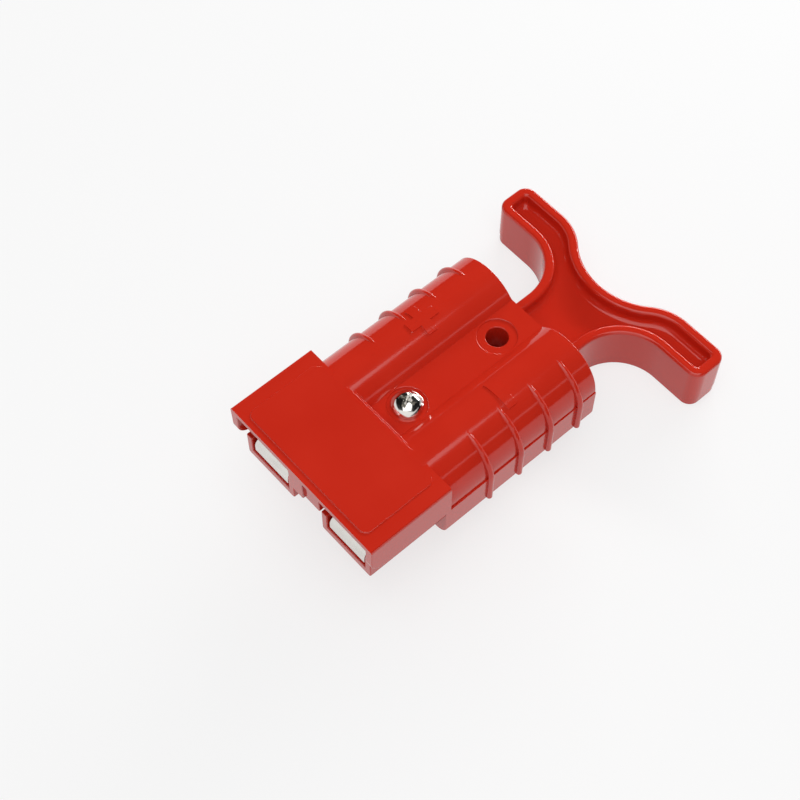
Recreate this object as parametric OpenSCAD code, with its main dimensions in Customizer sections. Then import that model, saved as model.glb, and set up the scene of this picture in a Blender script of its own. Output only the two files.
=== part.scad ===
// Genderless two-pole power connector with a bolt-on T-handle.
// X runs across the poles, Y from the mating mouth to the handle, Z up.

/* [Housing] */
// Width across the two poles
body_w = 36.5; // [35:0.5:40]
// Length from the mouth to the cable end
body_l = 52.5; // [50:0.5:56]
// Height from the underside to the crests
body_h = 16.1; // [15.8:0.1:17]
// Length of the hood over the mouth
hood_l = 17.7; // [17:0.1:18.5]
// Thickness of the hood's walls
hood_wall = 1.6; // [1.2:0.1:1.8]
// Depth of the valley between the crests
valley_depth = 3.1; // [2.6:0.1:3.4]
// Rounding of the two lower long edges
low_edge_r = 2.5; // [1:0.1:3]

/* [Grip ribs] */
// Ribs on each side
rib_count = 4; // [1:1:4]
// Distance from one rib to the next
rib_pitch = 7.1; // [5:0.1:7.2]
// Distance from the cable end to the last rib
rib_end_gap = 4.3; // [2:0.1:6]
// Thickness of a rib
rib_w = 1.2; // [0.8:0.1:1.6]

/* [Fixing holes] */
// Diameter of the two fixing holes
hole_d = 4.1; // [3.4:0.1:4.4]
// Distance from the mouth to the front hole
hole_y = 24; // [23.5:0.1:25]
// Distance between the two holes
hole_pitch = 21.2; // [18:0.1:21.4]
// Diameter of the flat seat round each hole
seat_d = 7.2; // [6.2:0.1:7.4]

/* [Contacts] */
// Outer diameter of a contact's wire barrel
barrel_d = 8.9; // [8.2:0.1:9]
// Bore of a contact's wire barrel
wire_d = 7.2; // [5:0.1:7.4]
// Depth of the wire bore
wire_depth = 15.5; // [10:0.5:17]
// Length of a contact from tip to barrel end
contact_l = 41; // [40:0.5:42]
// Thickness of the flat blade
blade_t = 2; // [1.6:0.1:2.2]
// Thickness of the leaf spring under a blade
spring_t = 0.6; // [0.4:0.1:0.8]

/* [Handle] */
// Width across the two arms
handle_w = 53; // [48:1:64]
// Distance from the cable end to the back of the arms
handle_reach = 26.2; // [25:0.1:32]
// Depth of the arms along the connector
arm_depth = 8; // [7.5:0.1:11]
// Radius of a finger notch
notch_r = 9.6; // [8:0.1:10]
// Width of the leg
leg_w = 15.2; // [14:0.1:16]
// Thickness of the rim and the flanges
rim_t = 2; // [1.5:0.1:2.4]
// Thickness of the web
web_t = 3.5; // [2.5:0.1:4]
// Height of the rim above the web
rim_rise = 2.8; // [1.5:0.1:4]
// Depth of the flanges below the housing
handle_drop = 7.8; // [7.4:0.1:10]

/* [Screw] */
// Diameter of the screw's head
head_d = 5.7; // [5.2:0.1:6]
// Height of the screw's head
head_h = 2.2; // [1.8:0.1:2.6]
// Diameter of the screw's shank
shank_d = 3; // [2.5:0.1:3.2]
// Length of the screw under its head
screw_l = 20; // [19:0.5:20]

/* [Hidden] */

$fn = 64;
eps = 0.01;
play = 0.02;

plastic = [0.78, 0.14, 0.08];
copper_plate = [0.86, 0.86, 0.84];
spring_steel = [0.66, 0.67, 0.69];
screw_steel = [0.8, 0.8, 0.8];

half_w = body_w / 2;
mid_z = body_h / 2;
valley_z = body_h - valley_depth;
shoulder_y = hood_l - 1;

crest_z = mid_z + 0.25;
crest_r = body_h - crest_z;
ledge = 0.4;
pole_x = half_w - ledge - crest_r;
rear_taper = 0.25;
foot_ledge = [16.6, 0.5, body_h - 0.7];

panel_rise = 0.2;
panel_margin = 2.9;
panel_front = 1.2;
panel_back = 0.9;
panel_r = 1.6;
hood_corner_r = 3;
hood_edge_r = 0.8;

tray_half = 6.3;
tray_wall = 1.4;
tray_inner = tray_half - tray_wall;
tray_front = 1.2;
tray_h = 6.05;
tray_depth = 4.25;
tray_under = mid_z - tray_h;
tray_floor = mid_z - tray_depth;
catch_y = 3.2;
catch_l = 0.8;
catch_h = 1.3;

key_half = 3.7;
key_front = 0.4;
key_step = 2;

entry_half = 6.35;
entry_floor = 2;
entry_corner = 1.5;
groove_w = 5.5;
groove_h = 1;

barrel_r = barrel_d / 2;
bed_r = barrel_r + 0.3;
bed_z = mid_z - 0.4;
barrel_z = bed_z - bed_r + barrel_r + play;
tip_y = 1.4;
barrel_end = tip_y + contact_l;
entry_y = barrel_end - 0.2;
blade_l = 16.6;
neck_l = 3.4;
neck_y = tip_y + blade_l;
barrel_front = neck_y + neck_l;
blade_half = 4.5;
blade_under = mid_z - blade_t;
passage_end = neck_y - 0.2;
tip_t = blade_t - 0.4;
tip_bend = 0.4;
tip_step_y = 4.8;
tip_foot = tray_floor + 0.7;
coin_y = 12.3;
coin_d = 6;
waist_r = 1.4;

spring_y0 = catch_y + catch_l + 0.1;
spring_y1 = passage_end - 0.4;

blind_z = 4.7;
blind_depth = 4.4;
under_groove = [6, 0.8];
seat_depth = 0.25;

mark_y = 36.3;
mark_rise = 0.2;
mark_size = 6.3;
mark_arm = 2.1;

rib_out = 0.65;
rib_down = 0.45;
rib_r = crest_r - 0.25;
rib_foot = 1.9;

rear_hole_y = hole_y + hole_pitch;
seat_z = valley_z - seat_depth;

handle_back = body_l + handle_reach;
arm_front = handle_back - arm_depth;
leg_half = leg_w / 2;
notch_x = leg_half + notch_r;
notch_y = arm_front - notch_r;
bend_x = notch_x - 0.7;
bend_r = 10.6;
bend_y = handle_back - bend_r;
dip_y = handle_back + 8;
dip_r = norm([bend_x, dip_y - bend_y]) - bend_r;
tip_r = 2;
rim_start = body_l + 0.2;
rim_slope = 4;
parting_h = 2.2;
parting_in = 0.12;

point_l = 0.6;
cross_w = 0.8;
nut_af = 5.5;
nut_t = 2.4;
far = 100;

// Places a model drawn from the mouth and the housing's underside
// so that the whole part is centred and stands on Z = 0.
module placed() translate([0, -handle_back / 2, handle_drop]) children();

// Runs a cross-section drawn in X and Z from y0 to y1.
module along_y(y0, y1)
    translate([0, y1, 0]) rotate([90, 0, 0]) linear_extrude(y1 - y0) children();

// Runs a side view drawn in Y and Z across x0 to x1.
module along_x(x0, x1)
    translate([x0, 0, 0]) rotate([90, 0, 90]) linear_extrude(x1 - x0) children();

// Repeats something at both poles.
module each_pole() for (side = [-1, 1]) translate([side * pole_x, 0, 0]) children();

// Flat rectangle between two corners.
module flat(x0, y0, x1, y1) translate([x0, y0]) square([x1 - x0, y1 - y0]);

// Rectangle with all four corners rounded.
module rounded(x0, y0, x1, y1, r) {
    flat(x0 + r, y0, x1 - r, y1);
    flat(x0, y0 + r, x1, y1 - r);
    for (x = [x0 + r, x1 - r], y = [y0 + r, y1 - r]) translate([x, y]) circle(r);
}

// Rectangle whose two lower corners are rounded.
module round_bottom(x0, y0, x1, y1, r) {
    flat(x0, y0 + r, x1, y1);
    flat(x0 + r, y0, x1 - r, y1);
    for (x = [x0 + r, x1 - r]) translate([x, y0 + r]) circle(r);
}

// Waste outside a rounded corner at the origin, the metal lying towards -X and -Y.
module corner_waste(r) difference() {
    translate([-r, -r]) square(r + 1);
    translate([-r, -r]) circle(r);
}

// Lower half behind the shoulder, narrowing slightly to the rear.
module lower_half() intersection() {
    along_y(shoulder_y, body_l) round_bottom(-half_w, 0, half_w, mid_z, low_edge_r);
    translate([0, 0, -1]) linear_extrude(body_h) polygon([
        [-half_w, 0], [half_w, 0],
        [half_w - rear_taper, body_l + 1], [rear_taper - half_w, body_l + 1]]);
}

// Twin crests with the flat valley between them.
module upper_half() along_y(shoulder_y, body_l) {
    for (side = [-1, 1]) translate([side * pole_x, crest_z]) circle(crest_r, $fn = 128);
    flat(-pole_x, mid_z - 1, pole_x, valley_z);
}

module hood() difference() {
    along_y(0, hood_l) union() {
        flat(-half_w, mid_z, half_w, body_h - hood_edge_r);
        flat(hood_edge_r - half_w, mid_z, half_w - hood_edge_r, body_h);
        for (side = [-1, 1])
            translate([side * (half_w - hood_edge_r), body_h - hood_edge_r]) circle(hood_edge_r);
    }
    hood_margin();
    along_x(-far, far) translate([0, mid_z]) rotate(180) corner_waste(hood_corner_r);
}

// Thin layer taken off the hood's top all round the raised panel.
module hood_margin() translate([0, 0, body_h - panel_rise]) linear_extrude(1) difference() {
    flat(-far, -1, far, hood_l + eps);
    rounded(panel_margin - half_w, panel_front,
            half_w - panel_margin, hood_l - panel_back, panel_r);
}

// Space inside the hood that takes the mate's contacts.
module hood_space() {
    inner = half_w - hood_wall;
    along_y(-1, shoulder_y) flat(-inner, mid_z, inner, body_h - hood_wall);
}

// Two tongues that carry the blades and slide into the mate's hood.
module trays() each_pole()
    along_y(tray_front, shoulder_y + eps)
        round_bottom(-tray_half, tray_under, tray_half, mid_z, 0.5);

// Cross wall in each tray that the hooked tip of a contact catches on.
module catches() each_pole()
    along_y(catch_y, catch_y + catch_l)
        flat(-tray_half + eps, tray_floor - eps, tray_half - eps, tray_floor + catch_h);

// Key under the hood: full height on one side and stepped on the other.
module key_block() {
    roof = body_h - hood_wall;
    along_y(key_front, shoulder_y + eps) flat(-key_half, mid_z + 0.1, 0, roof + eps);
    along_y(key_front + 0.5, shoulder_y + eps)
        flat(-eps, mid_z + 0.1, key_half, roof - key_step);
}

// Ledge across the top of the hood's rear wall.
module foot_step()
    translate([-foot_ledge.x / 2, hood_l - 1, mid_z])
        cube([foot_ledge.x, 1 + foot_ledge.y, foot_ledge.z - mid_z]);

// One rib: an arc over the crest, a straight run down the side and a round end.
module rib(y) translate([pole_x + rib_out, y, crest_z - rib_down]) {
    rotate([90, 0, 0]) rotate_extrude(angle = 100, $fn = 128)
        translate([rib_r, 0]) circle(rib_w / 2, $fn = 24);
    drop = crest_z - rib_down - rib_foot;
    translate([rib_r, 0, -drop]) {
        cylinder(drop + eps, d = rib_w, $fn = 24);
        sphere(d = rib_w, $fn = 24);
    }
}

module ribs() for (side = [0, 1]) mirror([side, 0, 0])
    for (i = [0 : rib_count - 1]) rib(body_l - rib_end_gap - i * rib_pitch);

// Raised polarity marks that follow the crests.
module marks() intersection() {
    each_pole() along_y(mark_y - mark_size, mark_y + mark_size)
        translate([0, crest_z]) circle(crest_r + mark_rise, $fn = 128);
    translate([0, mark_y, mid_z]) linear_extrude(body_h) {
        translate([-pole_x, 0]) square([mark_arm, mark_size], center = true);
        for (side = [-1, 1])
            translate([side * pole_x, 0]) square([mark_size, mark_arm], center = true);
    }
}

// Everything hollow at one pole, from the tray to the cable entry.
module pole_hollow() {
    along_y(-1, passage_end + eps)
        flat(-tray_inner, tray_floor, tray_inner, mid_z + 0.35);
    along_y(passage_end, entry_y + eps) translate([0, bed_z]) circle(bed_r);
    along_y(entry_y, body_l + 1) {
        round_bottom(-entry_half, entry_floor, entry_half, crest_z, entry_corner);
        translate([0, crest_z]) circle(entry_half);
        flat(-groove_w / 2, entry_floor - groove_h, groove_w / 2, crest_z);
    }
}

module fixing_holes() for (y = [hole_y, rear_hole_y]) translate([0, y, 0]) {
    translate([0, 0, -1]) cylinder(body_h + 2, d = hole_d);
    translate([0, 0, seat_z]) cylinder(body_h, d = seat_d);
}

// Blind hole in the rear face, between the cable entries.
module rear_blind_hole()
    along_y(body_l - blind_depth, body_l + 1) translate([0, blind_z]) circle(d = hole_d);

module housing() color(plastic) placed() {
    difference() {
        union() {
            difference() {
                union() {
                    lower_half();
                    upper_half();
                    hood();
                    foot_step();
                }
                hood_space();
            }
            trays();
            key_block();
            ribs();
            marks();
        }
        each_pole() pole_hollow();
        fixing_holes();
        rear_blind_hole();
        along_y(-1, body_l + 1)
            flat(-under_groove.x / 2, -1, under_groove.x / 2, under_groove.y);
    }
    catches();
}

// Outline of the handle seen from above, moved in by e all round.
module handle_outline(e) {
    half_handle(e);
    mirror([1, 0]) half_handle(e);
    translate([0, hole_y]) circle(leg_half - e);
}

module half_handle(e) difference() {
    flat(-eps, hole_y, handle_w / 2 - e, handle_back - e);
    notch_waste(e);
    back_waste(e);
    corner = max(tip_r - e, 0.5);
    translate([handle_w / 2 - e, handle_back - e]) corner_waste(corner);
    translate([handle_w / 2 - e, arm_front + e]) mirror([0, 1]) corner_waste(corner);
}

// Everything taken away in front of one arm: the finger notch and the leg's side.
module notch_waste(e) {
    translate([notch_x, notch_y]) circle(notch_r + e, $fn = 128);
    flat(leg_half - e, 0, far, notch_y);
    flat(notch_x, 0, far, arm_front + e);
}

// Everything taken away behind the hollow back of the handle.
module back_waste(e) {
    along = (dip_r + e) / (dip_r + bend_r);
    join_y = dip_y + (bend_y - dip_y) * along;
    translate([0, dip_y]) circle(dip_r + e, $fn = 128);
    difference() {
        flat(-1, join_y, bend_x, far);
        translate([bend_x, bend_y]) circle(bend_r - e, $fn = 128);
    }
}

// One moulding of H section: flanges, web and raised rim.
module t_handle() color(plastic) placed() difference() {
    union() {
        translate([0, 0, parting_h - handle_drop])
            linear_extrude(handle_drop + rim_rise - parting_h) difference() {
                handle_outline(0);
                handle_outline(rim_t);
            }
        translate([0, 0, -handle_drop]) linear_extrude(parting_h + eps) difference() {
            handle_outline(parting_in);
            handle_outline(rim_t);
        }
        translate([0, 0, -web_t]) linear_extrude(web_t) handle_outline(rim_t - eps);
    }
    along_x(-far, far) polygon([
        [0, 0], [rim_start, 0], [rim_start + rim_slope, rim_rise + eps],
        [rim_start + rim_slope, far], [0, far]]);
    for (y = [hole_y, rear_hole_y])
        translate([0, y, -far]) cylinder(2 * far, d = hole_d);
}

// Side view of the blade with its stepped and hooked tip.
module blade_side() {
    bend_z = mid_z - 0.2 - tip_t - tip_bend;
    bend_y = tip_y + tip_t + tip_bend;
    flat(tip_step_y, blade_under, neck_y + 1, mid_z);
    flat(bend_y - eps, mid_z - 0.2 - tip_t, tip_step_y + eps, mid_z - 0.2);
    intersection() {
        difference() {
            translate([bend_y, bend_z]) circle(tip_t + tip_bend);
            translate([bend_y, bend_z]) circle(tip_bend);
        }
        flat(tip_y - 1, bend_z, bend_y, mid_z);
    }
    flat(tip_y, tip_foot, tip_y + tip_t, bend_z + eps);
}

// Plated copper contact: wire barrel, swaged neck and flat blade.
module contact() {
    difference() {
        union() {
            along_y(barrel_front, barrel_end) translate([0, barrel_z]) circle(barrel_r);
            intersection() {
                along_y(neck_y, barrel_front + eps) translate([0, barrel_z]) circle(barrel_r);
                along_x(-barrel_r - 1, barrel_r + 1) polygon([
                    [neck_y, blade_under], [barrel_front, barrel_z - barrel_r],
                    [barrel_front + 1, barrel_z - barrel_r], [barrel_front + 1, barrel_z + barrel_r],
                    [barrel_front, barrel_z + barrel_r], [neck_y, mid_z]]);
            }
            along_x(-blade_half, blade_half) blade_side();
        }
        along_y(barrel_end - wire_depth, barrel_end + 1)
            translate([0, barrel_z]) circle(d = wire_d);
        for (side = [-1, 1])
            translate([side * (blade_half + 0.8), neck_y, 0]) cylinder(body_h, r = waist_r);
        translate([0, coin_y, mid_z - 0.15]) difference() {
            cylinder(1, d = coin_d);
            translate([0, 0, -1]) cylinder(3, d = coin_d - 0.8);
        }
    }
}

module contact_positive() color(copper_plate) placed() translate([-pole_x, 0, 0]) contact();
module contact_negative() color(copper_plate) placed() translate([pole_x, 0, 0]) contact();

// Bowed steel strip between the tray floor and the blade.
module leaf_spring() {
    mid_y = (spring_y0 + spring_y1) / 2;
    rise = blade_under - tray_floor - spring_t - play;
    chord = spring_y1 - spring_y0;
    bow_r = (pow(chord / 2, 2) + rise * rise) / (2 * rise);
    along_x(-blade_half, blade_half) intersection() {
        translate([mid_y, blade_under - play - bow_r - spring_t / 2]) difference() {
            circle(bow_r + spring_t / 2, $fn = 256);
            circle(bow_r - spring_t / 2, $fn = 256);
        }
        flat(spring_y0, tray_floor, spring_y1, blade_under);
    }
}

module spring_positive() color(spring_steel) placed() translate([-pole_x, 0, 0]) leaf_spring();
module spring_negative() color(spring_steel) placed() translate([pole_x, 0, 0]) leaf_spring();

// Pan-head screw with a cross recess.
module handle_screw() color(screw_steel) placed() translate([0, hole_y, seat_z]) difference() {
    dome_r = (pow(head_d / 2, 2) + head_h * head_h) / (2 * head_h) + 0.6;
    union() {
        intersection() {
            cylinder(head_h, d = head_d);
            translate([0, 0, head_h - dome_r]) sphere(dome_r, $fn = 96);
        }
        translate([0, 0, point_l - screw_l]) cylinder(screw_l, d = shank_d);
        translate([0, 0, -screw_l]) cylinder(point_l, d1 = shank_d - 0.8, d2 = shank_d);
    }
    for (turn = [20, 110]) rotate([90, 0, turn]) linear_extrude(cross_w, center = true) polygon([
        [-1.7, head_h + 1], [-1.5, head_h - 0.6], [-0.5, head_h - 1.6],
        [0.5, head_h - 1.6], [1.5, head_h - 0.6], [1.7, head_h + 1]]);
}

module handle_nut() color(screw_steel) placed()
    translate([0, hole_y, -web_t - nut_t]) difference() {
        cylinder(nut_t, r = nut_af / sqrt(3), $fn = 6);
        cylinder(far, d = shank_d + 2 * play, center = true);
    }

housing();
t_handle();
contact_positive();
contact_negative();
spring_positive();
spring_negative();
handle_screw();
handle_nut();
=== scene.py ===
import math

import bmesh
import bpy
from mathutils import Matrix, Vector
from mathutils.bvhtree import BVHTree
from mathutils.geometry import intersect_point_line
from mathutils.interpolate import poly_3d_calc


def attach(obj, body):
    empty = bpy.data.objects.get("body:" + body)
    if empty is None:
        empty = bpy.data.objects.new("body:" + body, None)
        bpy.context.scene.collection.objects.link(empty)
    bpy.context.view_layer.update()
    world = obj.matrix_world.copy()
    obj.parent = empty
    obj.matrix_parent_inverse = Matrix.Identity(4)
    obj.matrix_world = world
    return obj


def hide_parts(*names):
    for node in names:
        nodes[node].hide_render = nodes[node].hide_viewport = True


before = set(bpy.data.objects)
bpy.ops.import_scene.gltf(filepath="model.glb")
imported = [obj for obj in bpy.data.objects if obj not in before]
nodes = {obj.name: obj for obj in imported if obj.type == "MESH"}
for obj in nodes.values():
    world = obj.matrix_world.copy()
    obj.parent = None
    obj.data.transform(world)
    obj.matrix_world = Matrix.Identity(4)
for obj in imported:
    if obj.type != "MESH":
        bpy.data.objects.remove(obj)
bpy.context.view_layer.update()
scene = bpy.context.scene


camera = {
    "azimuth": 48.48,  # degrees, 0 looks along +Y
    "elevation": 59.37,
    "distance": 0.297,
    "target": (-0.00732, -0.01054, 0.0078),
    "lens": 73.7,
    "sensor": 36.0,
    "clip": (0.01, 20),
}


def makeCamera(size):
    turn = math.radians(size["azimuth"])
    tilt = math.radians(size["elevation"])
    level = math.cos(tilt)
    back = Vector((math.sin(turn) * level, -math.cos(turn) * level, math.sin(tilt)))
    data = bpy.data.cameras.new("camera")
    data.lens = size["lens"]
    data.sensor_width = size["sensor"]
    data.clip_start, data.clip_end = size["clip"]
    eye = bpy.data.objects.new("camera", data)
    eye.location = Vector(size["target"]) + back * size["distance"]
    eye.rotation_euler = back.to_track_quat("Z", "Y").to_euler()
    scene.collection.objects.link(eye)
    scene.camera = eye


makeCamera(camera)
print("camera placed")


def addNode(tree, kind, **settings):
    node = tree.nodes.new(kind)
    for name, value in settings.items():
        setattr(node, name, value)
    return node


def newGroup(name, inputs, outputs):
    group = bpy.data.node_groups.new(name, "ShaderNodeTree")
    for label, kind, value in inputs:
        socket = group.interface.new_socket(label, in_out="INPUT", socket_type=kind)
        socket.default_value = value
    for label, kind in outputs:
        group.interface.new_socket(label, in_out="OUTPUT", socket_type=kind)
    return group, group.nodes.new("NodeGroupInput"), group.nodes.new("NodeGroupOutput")


def placeGroup(tree, group, **values):
    node = addNode(tree, "ShaderNodeGroup", node_tree=group)
    for name, value in values.items():
        node.inputs[name].default_value = value
    return node


def mottleGroup(detail):
    # slow drift of colour and gloss plus a fine skin, on Object coordinates in metres
    group, given, result = newGroup(
        "mottle",
        [("DriftScale", "NodeSocketFloat", 60.0), ("GrainScale", "NodeSocketFloat", 2500.0),
         ("RoughLow", "NodeSocketFloat", 0.2), ("RoughHigh", "NodeSocketFloat", 0.3),
         ("GrainShare", "NodeSocketFloat", 0.3)],
        [("Drift", "NodeSocketFloat"), ("Rough", "NodeSocketFloat"), ("Height", "NodeSocketFloat")])
    link = group.links.new
    coords = addNode(group, "ShaderNodeTexCoord")
    drift = addNode(group, "ShaderNodeTexNoise")
    drift.inputs["Detail"].default_value = detail["drift"]
    grain = addNode(group, "ShaderNodeTexNoise")
    grain.inputs["Detail"].default_value = detail["grain"]
    rough = addNode(group, "ShaderNodeMapRange")
    sink = addNode(group, "ShaderNodeMath", operation="MULTIPLY")
    total = addNode(group, "ShaderNodeMath", operation="ADD")
    link(coords.outputs["Object"], drift.inputs["Vector"])
    link(coords.outputs["Object"], grain.inputs["Vector"])
    link(given.outputs["DriftScale"], drift.inputs["Scale"])
    link(given.outputs["GrainScale"], grain.inputs["Scale"])
    link(drift.outputs["Fac"], rough.inputs["Value"])
    link(given.outputs["RoughLow"], rough.inputs["To Min"])
    link(given.outputs["RoughHigh"], rough.inputs["To Max"])
    link(grain.outputs["Fac"], sink.inputs[0])
    link(given.outputs["GrainShare"], sink.inputs[1])
    link(sink.outputs[0], total.inputs[0])
    link(drift.outputs["Fac"], total.inputs[1])
    link(drift.outputs["Fac"], result.inputs["Drift"])
    link(rough.outputs["Result"], result.inputs["Rough"])
    link(total.outputs[0], result.inputs["Height"])
    return group


mottle = mottleGroup({"drift": 3, "grain": 2})


def surface(name, look):
    # one Principled material whose colour, gloss and bump follow the mottle
    material = bpy.data.materials.new(name)
    material.use_nodes = True
    tree = material.node_tree
    link = tree.links.new
    shader = tree.nodes["Principled BSDF"]
    for socket, value in look.get("fixed", {}).items():
        shader.inputs[socket].default_value = value
    skin = placeGroup(tree, mottle, **look["mottle"])
    tint = addNode(tree, "ShaderNodeMix", data_type="RGBA")
    tint.inputs["A"].default_value = (*look["dark"], 1)
    tint.inputs["B"].default_value = (*look["light"], 1)
    bump = addNode(tree, "ShaderNodeBump")
    bump.inputs["Distance"].default_value = look["bump"]
    bump.inputs["Strength"].default_value = 1.0
    link(skin.outputs["Drift"], tint.inputs["Factor"])
    link(tint.outputs["Result"], shader.inputs["Base Color"])
    link(skin.outputs["Rough"], shader.inputs["Roughness"])
    link(skin.outputs["Height"], bump.inputs["Height"])
    link(bump.outputs["Normal"], shader.inputs["Normal"])
    return material


redPlastic = surface("redPlastic", {
    "dark": (0.56, 0.020, 0.008), "light": (0.64, 0.028, 0.012), "bump": 0.00002,
    "mottle": {"DriftScale": 90.0, "GrainScale": 1800.0, "RoughLow": 0.08, "RoughHigh": 0.15,
               "GrainShare": 0.15},
    "fixed": {"IOR": 1.5},
})
silverPlate = surface("silverPlate", {
    "dark": (0.66, 0.64, 0.60), "light": (0.80, 0.78, 0.74), "bump": 0.00002,
    "mottle": {"DriftScale": 400.0, "GrainScale": 4000.0, "RoughLow": 0.22, "RoughHigh": 0.36,
               "GrainShare": 0.4},
    "fixed": {"Metallic": 1.0},
})
springSteel = surface("springSteel", {
    "dark": (0.50, 0.50, 0.51), "light": (0.62, 0.62, 0.63), "bump": 0.00001,
    "mottle": {"DriftScale": 300.0, "GrainScale": 5000.0, "RoughLow": 0.25, "RoughHigh": 0.38,
               "GrainShare": 0.4},
    "fixed": {"Metallic": 1.0},
})
nickel = surface("nickel", {
    "dark": (0.70, 0.68, 0.64), "light": (0.82, 0.80, 0.76), "bump": 0.00001,
    "mottle": {"DriftScale": 500.0, "GrainScale": 6000.0, "RoughLow": 0.08, "RoughHigh": 0.18,
               "GrainShare": 0.3},
    "fixed": {"Metallic": 1.0},
})
print("materials made")


dressing = {  # edge is the rounding of the outer corners, in metres
    "housing": {"material": redPlastic, "slot": "housing_plastic", "edge": 0.00020},
    "contact_positive": {"material": silverPlate, "slot": "silver_plate", "edge": 0.00015},
    "contact_negative": {"material": silverPlate, "slot": "silver_plate", "edge": 0.00015},
    "spring_positive": {"material": springSteel, "slot": "spring_steel", "edge": 0.00006},
    "spring_negative": {"material": springSteel, "slot": "spring_steel", "edge": 0.00006},
    "handle_screw": {"material": nickel, "slot": "nickel", "edge": 0.00008},
    "handle_nut": {"material": nickel, "slot": "nickel", "edge": 0.00015},
}
rounding = {  # lengths in metres, angles in degrees, shares of the edge's own rounding width
    "segments": 3, "sharpAngle": 28, "flatAngle": 0.05, "tries": 7,
    "weld": 0.000002, "sliver": 0.000001, "leastArea": 1e-11,
    "strayShare": 0.6, "reachShares": 2, "turnedAway": -0.2,
    "intoFace": 0.01, "onSkin": 0.00002, "sameSide": 0.9,
}


def mergedMesh(node):
    # a solid's triangles joined into one skin, flat fields made single faces
    mesh = bmesh.new()
    mesh.from_mesh(nodes[node].data)
    bmesh.ops.remove_doubles(mesh, verts=mesh.verts, dist=rounding["weld"])
    bmesh.ops.dissolve_degenerate(mesh, dist=rounding["sliver"], edges=mesh.edges)
    bmesh.ops.dissolve_limit(mesh, angle_limit=math.radians(rounding["flatAngle"]),
                             verts=mesh.verts, edges=mesh.edges)
    return mesh


def strays(mesh, skin, width):
    # places where the rounding left the solid's skin, with how far round them it went wrong
    allowed = rounding["strayShare"] * width
    reach = rounding["reachShares"] * width
    places = []
    for vert in mesh.verts:
        off = skin.find_nearest(vert.co)[3]
        if off > allowed:
            places.append((vert.co.copy(), reach + off))
    for face in mesh.calc_loop_triangles():
        corners = [loop.vert.co for loop in face]
        normal = (corners[1] - corners[0]).cross(corners[2] - corners[0])
        if normal.length < rounding["leastArea"]:
            continue
        middle = (corners[0] + corners[1] + corners[2]) / 3
        point, own, index, off = skin.find_nearest(middle)
        if off > allowed or own.dot(normal.normalized()) < rounding["turnedAway"]:
            places += [(corner.copy(), reach) for corner in corners]
    return places


def nearEdge(place, start, end, reach):
    point, along = intersect_point_line(place, start, end)
    point = start.lerp(end, min(max(along, 0), 1))
    return (place - point).length < reach


def roundedMesh(base, width):
    # outer corners rounded, and an edge left sharp where its rounding would stray
    skin = BVHTree.FromBMesh(base)
    sharp = math.radians(rounding["sharpAngle"])
    chosen = {edge.index for edge in base.edges
              if edge.is_manifold and edge.is_convex and edge.calc_face_angle(0) > sharp}
    for attempt in range(rounding["tries"]):
        mesh = base.copy()
        mesh.edges.ensure_lookup_table()
        ends = {index: [vert.co.copy() for vert in mesh.edges[index].verts] for index in chosen}
        made = bmesh.ops.bevel(mesh, geom=[mesh.edges[index] for index in sorted(chosen)],
                               offset=width, offset_type="OFFSET", segments=rounding["segments"],
                               profile=0.5, affect="EDGES", clamp_overlap=False, miter_outer="ARC")
        for face in mesh.faces:
            face.tag = False
        for face in made["faces"]:
            face.tag = True  # a face of the rounding, not of the solid's skin
        places = strays(mesh, skin, width)
        dropped = {index for index, (start, end) in ends.items()
                   if any(nearEdge(place, start, end, reach) for place, reach in places)}
        if not dropped:
            return mesh, len(places), len(chosen)
        chosen -= dropped
        mesh.free()
    return base.copy(), 0, 0


def skinNormals(mesh, node):
    # corner normals read from the solid's own surface, and met smoothly by the rounding
    solid = nodes[node].data
    places = [vert.co.copy() for vert in solid.vertices]
    faces = [tuple(face.vertices) for face in solid.polygons]
    loops = [face.loop_start for face in solid.polygons]
    skin = BVHTree.FromPolygons(places, faces)
    found = {}
    for face in mesh.faces:
        if face.tag:
            continue
        middle = face.calc_center_median()
        for loop in face.loops:
            inside = loop.vert.co.lerp(middle, rounding["intoFace"])
            point, flat, index, off = skin.find_nearest(inside)
            normal = face.normal
            if off < rounding["onSkin"]:
                shares = poly_3d_calc([places[vert] for vert in faces[index]], point)
                near = [solid.corner_normals[loops[index] + k].vector for k in range(len(shares))]
                own = sum((share * vector for share, vector in zip(shares, near)), Vector())
                if own.dot(face.normal) > rounding["sameSide"] * own.length > 0:
                    normal = own.normalized()
            found[loop.index] = normal
    normals = []
    for face in mesh.faces:
        for loop in face.loops:
            if face.tag:
                beside = [found[other.index] for other in loop.vert.link_loops
                          if other.index in found]
                best = max(beside, key=face.normal.dot, default=None)
                inner = sum((other.normal for other in loop.vert.link_faces if other.tag),
                            Vector())
                normals.append(best if best is not None else inner.normalized())
            else:
                normals.append(found[loop.index])
    return normals


def settleNormals(piece, size):
    # a lofted piece's flat faces keep their own normals beside its rounds
    piece.data.shade_smooth()
    piece.data.set_sharp_from_angle(angle=math.radians(size["sharpAngle"]))
    settle = piece.modifiers.new("normals", "WEIGHTED_NORMAL")
    settle.keep_sharp = True
    settle.weight = size["flatWeight"]


def claim(piece, node):
    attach(piece, "root")
    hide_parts(node)


def newPiece(name, mesh, material):
    data = bpy.data.meshes.new(name)
    mesh.to_mesh(data)
    mesh.free()
    data.materials.append(material)
    piece = bpy.data.objects.new(name, data)
    scene.collection.objects.link(piece)
    return piece


def dress(node, look):
    mesh, left, kept = roundedMesh(mergedMesh(node), look["edge"])
    mesh.normal_update()
    mesh.faces.index_update()
    for index, loop in enumerate(loop for face in mesh.faces for loop in face.loops):
        loop.index = index
    normals = skinNormals(mesh, node)
    piece = newPiece(node + ".look", mesh, look["material"])
    piece.data.shade_smooth()
    piece.data.normals_split_custom_set(normals)
    claim(piece, node)
    print(node, "corners rounded:", kept, "places left:", left)


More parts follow.
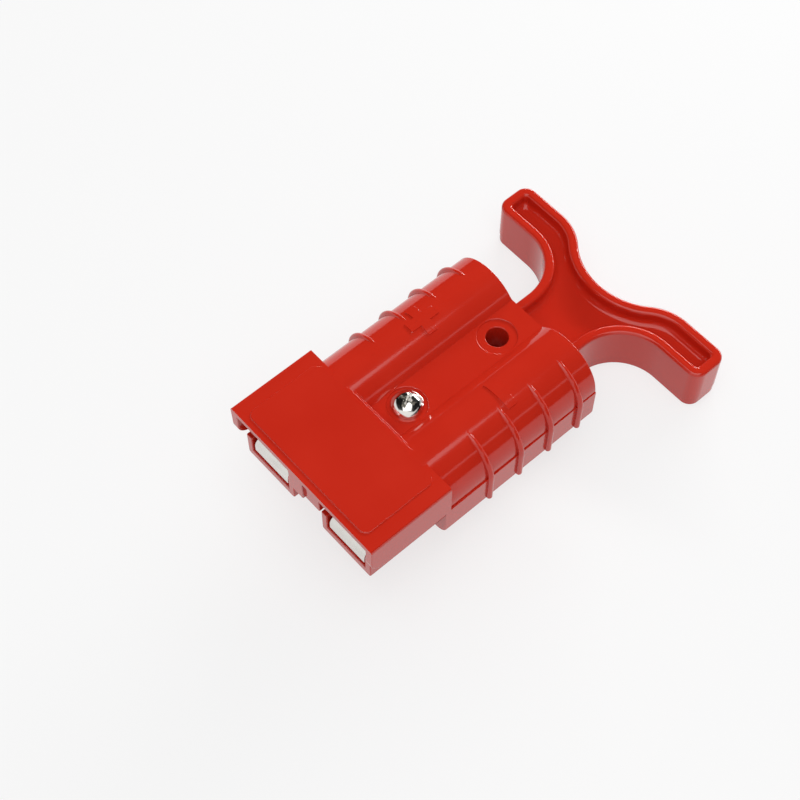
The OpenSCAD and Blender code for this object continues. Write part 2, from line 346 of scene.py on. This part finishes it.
for node, look in dressing.items():
    dress(node, look)
print("solids dressed")


thread = {  # metres, the M3 thread on the screw's shank
    "Radius": 0.00150, "Pitch": 0.0005, "Turns": 35.0, "Ridge": 0.00016,
    "place": (0.0, -0.01535, 0.0011), "steps": 40,
}


def threadTree(size):
    # a spiral swept with a three-sided ridge
    tree = bpy.data.node_groups.new("thread", "GeometryNodeTree")
    for name in ("Radius", "Pitch", "Turns", "Ridge"):
        socket = tree.interface.new_socket(name, in_out="INPUT", socket_type="NodeSocketFloat")
        socket.default_value = size[name]
    tree.interface.new_socket("Geometry", in_out="OUTPUT", socket_type="NodeSocketGeometry")
    given = tree.nodes.new("NodeGroupInput")
    link = tree.links.new
    height = addNode(tree, "ShaderNodeMath", operation="MULTIPLY")
    spiral = addNode(tree, "GeometryNodeCurveSpiral")
    spiral.inputs["Resolution"].default_value = size["steps"]
    ridge = addNode(tree, "GeometryNodeCurvePrimitiveCircle")
    ridge.inputs["Resolution"].default_value = 3
    sweep = addNode(tree, "GeometryNodeCurveToMesh")
    sweep.inputs["Fill Caps"].default_value = True
    move = addNode(tree, "GeometryNodeTransform")
    move.inputs["Translation"].default_value = size["place"]
    real = addNode(tree, "GeometryNodeRealizeInstances")
    paint = addNode(tree, "GeometryNodeSetMaterial")
    paint.inputs["Material"].default_value = nickel
    result = tree.nodes.new("NodeGroupOutput")
    link(given.outputs["Pitch"], height.inputs[0])
    link(given.outputs["Turns"], height.inputs[1])
    link(height.outputs[0], spiral.inputs["Height"])
    link(given.outputs["Turns"], spiral.inputs["Rotations"])
    link(given.outputs["Radius"], spiral.inputs["Start Radius"])
    link(given.outputs["Radius"], spiral.inputs["End Radius"])
    link(given.outputs["Ridge"], ridge.inputs["Radius"])
    link(spiral.outputs[0], sweep.inputs["Curve"])
    link(ridge.outputs["Curve"], sweep.inputs["Profile Curve"])
    link(sweep.outputs[0], move.inputs["Geometry"])
    link(move.outputs[0], real.inputs[0])
    link(real.outputs[0], paint.inputs["Geometry"])
    link(paint.outputs[0], result.inputs["Geometry"])
    return tree


def buildThread(size):
    carrier = bpy.data.objects.new("thread", bpy.data.meshes.new("thread"))
    scene.collection.objects.link(carrier)
    maker = carrier.modifiers.new("thread", "NODES")
    maker.node_group = threadTree(size)
    graph = bpy.context.evaluated_depsgraph_get()
    mesh = bpy.data.meshes.new_from_object(carrier.evaluated_get(graph))
    bpy.data.objects.remove(carrier)
    piece = bpy.data.objects.new("screw.thread", mesh)
    scene.collection.objects.link(piece)
    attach(piece, "root")
    ends = [round(vert.co.z, 5) for vert in (mesh.vertices[0], mesh.vertices[-1])]
    print("thread faces:", len(mesh.polygons), "height", ends)


buildThread(thread)


handle = {  # millimetres from the mouth's front and the housing's underside
    "width": 53.0, "back": 78.7, "armDepth": 8.0, "drop": 7.8,
    "legHalf": 7.6, "holeY": 24.0, "rearHoleY": 45.2, "holeRadius": 2.05,
    "notchRadius": 9.6, "bendRadius": 10.6, "bendIn": 0.7, "dipOut": 8.0,
    "tipRadius": 2.4, "leastCorner": 0.8,
    "wall": 2.0, "web": 3.5, "rimRise": 2.8, "rimStart": 52.7, "rimSlope": 4.0,
    "rimRound": 0.6, "footRound": 0.35, "fillet": 1.3,
    "partingHeight": 2.2, "partingStep": 0.12, "partingRound": 0.06,
    "slopeSteps": 6, "arcSteps": 40, "cornerSteps": 10, "roundSteps": 5, "holeSteps": 40,
    "metre": 0.001, "weld": 0.000002, "sharpAngle": 35, "flatWeight": 100,
}


def arc(x, y, radius, start, end, steps):
    angles = [math.radians(start + (end - start) * i / steps) for i in range(steps + 1)]
    return [(x + radius * math.cos(angle), y + radius * math.sin(angle)) for angle in angles]


def handleLoop(size, inset):
    # outline seen from above, moved in by inset, with the same number of points at any inset
    notchX = size["legHalf"] + size["notchRadius"]
    armFront = size["back"] - size["armDepth"]
    notchY = armFront - size["notchRadius"]
    bendX = notchX - size["bendIn"]
    bendY = size["back"] - size["bendRadius"]
    dipY = size["back"] + size["dipOut"]
    dipRadius = math.hypot(bendX, dipY - bendY) - size["bendRadius"]
    joint = math.degrees(math.atan2(dipY - bendY, -bendX))
    corner = max(size["tipRadius"] - inset, size["leastCorner"])
    cornerX = size["width"] / 2 - inset - corner
    legX = size["legHalf"] - inset
    half = arc(0, size["holeY"], legX, -90, 0, size["arcSteps"])
    half += [(legX, size["rimStart"] + size["rimSlope"] * i / size["slopeSteps"])
             for i in range(size["slopeSteps"] + 1)]
    half += arc(notchX, notchY, size["notchRadius"] + inset, 180, 90, size["arcSteps"])
    half += arc(cornerX, armFront + inset + corner, corner, -90, 0, size["cornerSteps"])
    half += arc(cornerX, size["back"] - inset - corner, corner, 0, 90, size["cornerSteps"])
    half += arc(bendX, bendY, size["bendRadius"] - inset, 90, joint, size["arcSteps"])
    half += arc(0, dipY, dipRadius + inset, joint - 180, -90, size["arcSteps"])[1:]
    return half + [(-x, y) for x, y in reversed(half[1:-1])]


def handleRows(size):
    # cross-section of rim, wall and foot as insets and heights, from the web's top round to
    # its underside
    steps = size["roundSteps"]
    turn = [math.radians(90 * i / steps) for i in range(steps + 1)]
    rim, foot, fillet = size["rimRound"], size["footRound"], size["fillet"]
    wall, top, low = size["wall"], size["rimRise"], -size["drop"]
    part = low + size["partingHeight"]
    step, soft = size["partingStep"], size["partingRound"]
    rows = [(wall + fillet * (1 - math.sin(a)), fillet * (1 - math.cos(a))) for a in turn]
    rows += [(wall - rim * (1 - math.cos(a)), top - rim * (1 - math.sin(a))) for a in turn]
    rows += [(rim * (1 - math.sin(a)), top - rim * (1 - math.cos(a))) for a in turn]
    rows += [(0, part + soft), (soft / 2, part), (step, part - soft)]
    rows += [(step + foot * (1 - math.cos(a)), low + foot * (1 - math.sin(a))) for a in turn]
    rows += [(wall - foot * (1 - math.sin(a)), low + foot * (1 - math.cos(a))) for a in turn]
    rows += [(wall + fillet * (1 - math.cos(a)), -size["web"] - fillet * (1 - math.sin(a)))
             for a in turn]
    return rows


def buildHandle(size):
    mesh = bmesh.new()
    loops = []
    for inset, height in handleRows(size):
        loop = []
        for x, y in handleLoop(size, inset):
            rise = min(max((y - size["rimStart"]) / size["rimSlope"], 0), 1) if height > 0 else 1
            loop.append(mesh.verts.new(((x, y - size["back"] / 2, height * rise + size["drop"]))))
        loops.append(loop)
    for upper, lower in zip(loops, loops[1:]):
        for i in range(len(upper)):
            k = (i + 1) % len(upper)
            mesh.faces.new((upper[i], lower[i], lower[k], upper[k]))
    bores = {}
    for height in (0, -size["web"]):
        rings = []
        for holeY in (size["holeY"], size["rearHoleY"]):
            ring = [mesh.verts.new((x, y - size["back"] / 2, height + size["drop"]))
                    for x, y in arc(0, holeY, size["holeRadius"], 0, 360, size["holeSteps"])[:-1]]
            rings.append(ring)
        bores[height] = rings
        outer = loops[0] if height == 0 else loops[-1]
        edges = []
        for ring in [outer] + rings:
            for i, vert in enumerate(ring):
                other = ring[(i + 1) % len(ring)]
                edges.append(mesh.edges.get((vert, other)) or mesh.edges.new((vert, other)))
        bmesh.ops.triangle_fill(mesh, use_beauty=True, use_dissolve=False, edges=edges)
    for upper, lower in zip(*bores.values()):
        for i in range(len(upper)):
            k = (i + 1) % len(upper)
            mesh.faces.new((upper[i], upper[k], lower[k], lower[i]))
    for vert in mesh.verts:
        vert.co *= size["metre"]
    bmesh.ops.remove_doubles(mesh, verts=mesh.verts, dist=size["weld"])
    bmesh.ops.recalc_face_normals(mesh, faces=mesh.faces)
    print("handle open edges:", sum(not edge.is_manifold for edge in mesh.edges),
          "volume in cubic centimetres:", round(mesh.calc_volume(signed=True) * 1e6, 3))
    piece = newPiece("t_handle.look", mesh, redPlastic)
    settleNormals(piece, size)
    claim(piece, "t_handle")


buildHandle(handle)
print("handle built")


studio = {
    "floorSize": 3.0,
    "floorColour": (0.86, 0.86, 0.86),
    "floorRoughness": 0.6,
    "whiteShare": 0.72,
    "worldStrength": 0.38,
}


def paleRays(tree, size):
    # 1 for rays from the camera, a gloss or a glass, which see the studio as white
    path = addNode(tree, "ShaderNodeLightPath")
    seen = addNode(tree, "ShaderNodeMath", operation="MAXIMUM")
    glossy = addNode(tree, "ShaderNodeMath", operation="MAXIMUM")
    tree.links.new(path.outputs["Is Camera Ray"], seen.inputs[0])
    tree.links.new(path.outputs["Is Glossy Ray"], seen.inputs[1])
    tree.links.new(seen.outputs[0], glossy.inputs[0])
    tree.links.new(path.outputs["Is Transmission Ray"], glossy.inputs[1])
    share = addNode(tree, "ShaderNodeMapRange")
    share.inputs["To Min"].default_value, share.inputs["To Max"].default_value = size
    tree.links.new(glossy.outputs[0], share.inputs["Value"])
    return share.outputs["Result"]


def makeFloor(size):
    half = size["floorSize"] / 2
    data = bpy.data.meshes.new("floor")
    corners = [(-half, -half, 0), (half, -half, 0), (half, half, 0), (-half, half, 0)]
    data.from_pydata(corners, [], [(0, 1, 2, 3)])
    floor = bpy.data.objects.new("floor", data)
    scene.collection.objects.link(floor)
    material = bpy.data.materials.new("paleFloor")
    material.use_nodes = True
    tree = material.node_tree
    shader = tree.nodes["Principled BSDF"]
    shader.inputs["Base Color"].default_value = (*size["floorColour"], 1)
    shader.inputs["Roughness"].default_value = size["floorRoughness"]
    glow = addNode(tree, "ShaderNodeEmission")
    blend = addNode(tree, "ShaderNodeMixShader")
    tree.links.new(paleRays(tree, (0.0, size["whiteShare"])), blend.inputs[0])
    tree.links.new(shader.outputs[0], blend.inputs[1])
    tree.links.new(glow.outputs[0], blend.inputs[2])
    tree.links.new(blend.outputs[0], tree.nodes["Material Output"].inputs["Surface"])
    data.materials.append(material)


def makeWorld(size):
    world = bpy.data.worlds.new("studio")
    scene.world = world
    world.use_nodes = True
    tree = world.node_tree
    background = tree.nodes["Background"]
    background.inputs["Color"].default_value = (1, 1, 1, 1)
    tree.links.new(paleRays(tree, (size["worldStrength"], 1.0)), background.inputs["Strength"])


lamps = {
    "overhead": {"at": (0.10, -0.10, 0.55), "size": (0.5, 0.5), "power": 1.6},
    "backStrip": {"at": (-0.22, 0.55, 0.22), "size": (0.6, 0.06), "power": 2.6},
}


def makeLamp(name, size):
    data = bpy.data.lights.new(name, "AREA")
    data.shape = "RECTANGLE"
    data.size, data.size_y = size["size"]
    data.energy = size["power"]
    lamp = bpy.data.objects.new(name, data)
    lamp.location = size["at"]
    lamp.rotation_euler = Vector(size["at"]).to_track_quat("Z", "Y").to_euler()
    scene.collection.objects.link(lamp)


def makeFlag(name, size):
    # a dark card seen only in gloss, so that what mirrors it keeps its own colour
    place = Vector(size["at"])
    width, height = size["size"]
    turn = place.to_track_quat("Z", "Y").to_matrix()
    corners = [(-width / 2, -height / 2, 0), (width / 2, -height / 2, 0),
               (width / 2, height / 2, 0), (-width / 2, height / 2, 0)]
    data = bpy.data.meshes.new(name)
    data.from_pydata([place + turn @ Vector(corner) for corner in corners], [], [(0, 1, 2, 3)])
    card = bpy.data.objects.new(name, data)
    scene.collection.objects.link(card)
    card.visible_camera = False
    card.visible_diffuse = False
    card.visible_shadow = False
    material = bpy.data.materials.new("darkCard")
    material.use_nodes = True
    shader = material.node_tree.nodes["Principled BSDF"]
    shader.inputs["Base Color"].default_value = (*size["colour"], 1)
    shader.inputs["Roughness"].default_value = 1.0
    shader.inputs["Specular IOR Level"].default_value = 0.0
    data.materials.append(material)


flags = {  # one over the flat tops, one beside the barrels
    "highFlag": {"at": (-0.20, 0.25, 0.80), "size": (3.4, 3.2), "colour": (0.02, 0.02, 0.02)},
    "sideFlag": {"at": (1.30, 0.45, 0.35), "size": (2.4, 0.7), "colour": (0.02, 0.02, 0.02)},
}

makeFloor(studio)
makeWorld(studio)
for name, size in flags.items():
    makeFlag(name, size)
for name, size in lamps.items():
    makeLamp(name, size)
scene.view_settings.view_transform = "Standard"
print("studio lit")
